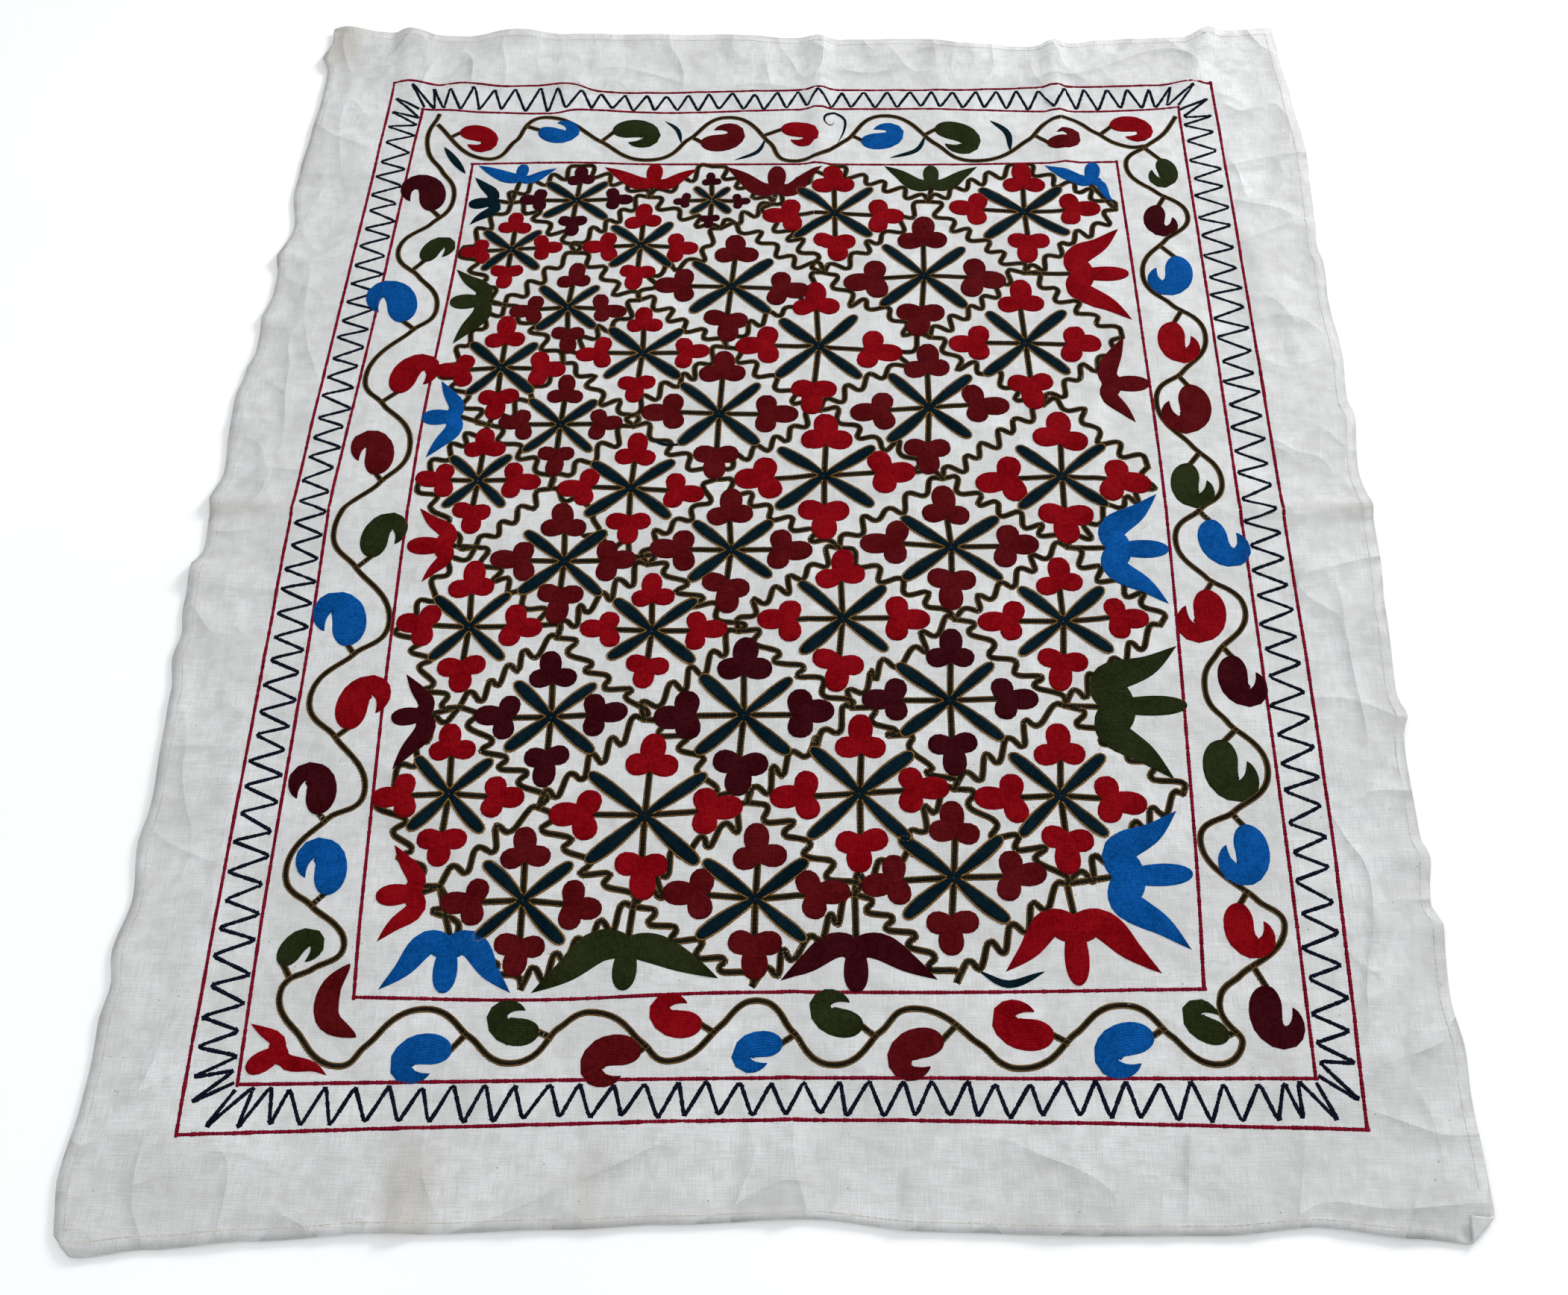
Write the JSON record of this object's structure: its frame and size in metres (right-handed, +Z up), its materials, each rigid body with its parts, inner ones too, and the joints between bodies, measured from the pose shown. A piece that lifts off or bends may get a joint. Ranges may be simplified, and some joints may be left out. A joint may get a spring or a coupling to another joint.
{
  "type": "suzani quilt, a hemmed cotton cover lying flat",
  "caption": "Cream cotton bed cover lying flat and slightly rumpled, with a narrow hem, storage creases and two turned corners, for an embroidered finish.",
  "frame": {"origin": "on the floor under the middle of the cloth", "axes": "+Z up from the floor, +Y along the cloth's length away from the near edge, +X to the right across its width"},
  "size_m": [1.4233, 1.7367, 0.0146],
  "materials": {
    "cotton_cloth": "matt plain weave, unbleached cotton",
    "embroidery_thread": "twisted thread in chain stitch, low sheen"
  },
  "bodies": {
    "root": {"cloth": "cotton_cloth"}
  },
  "joints": []
}
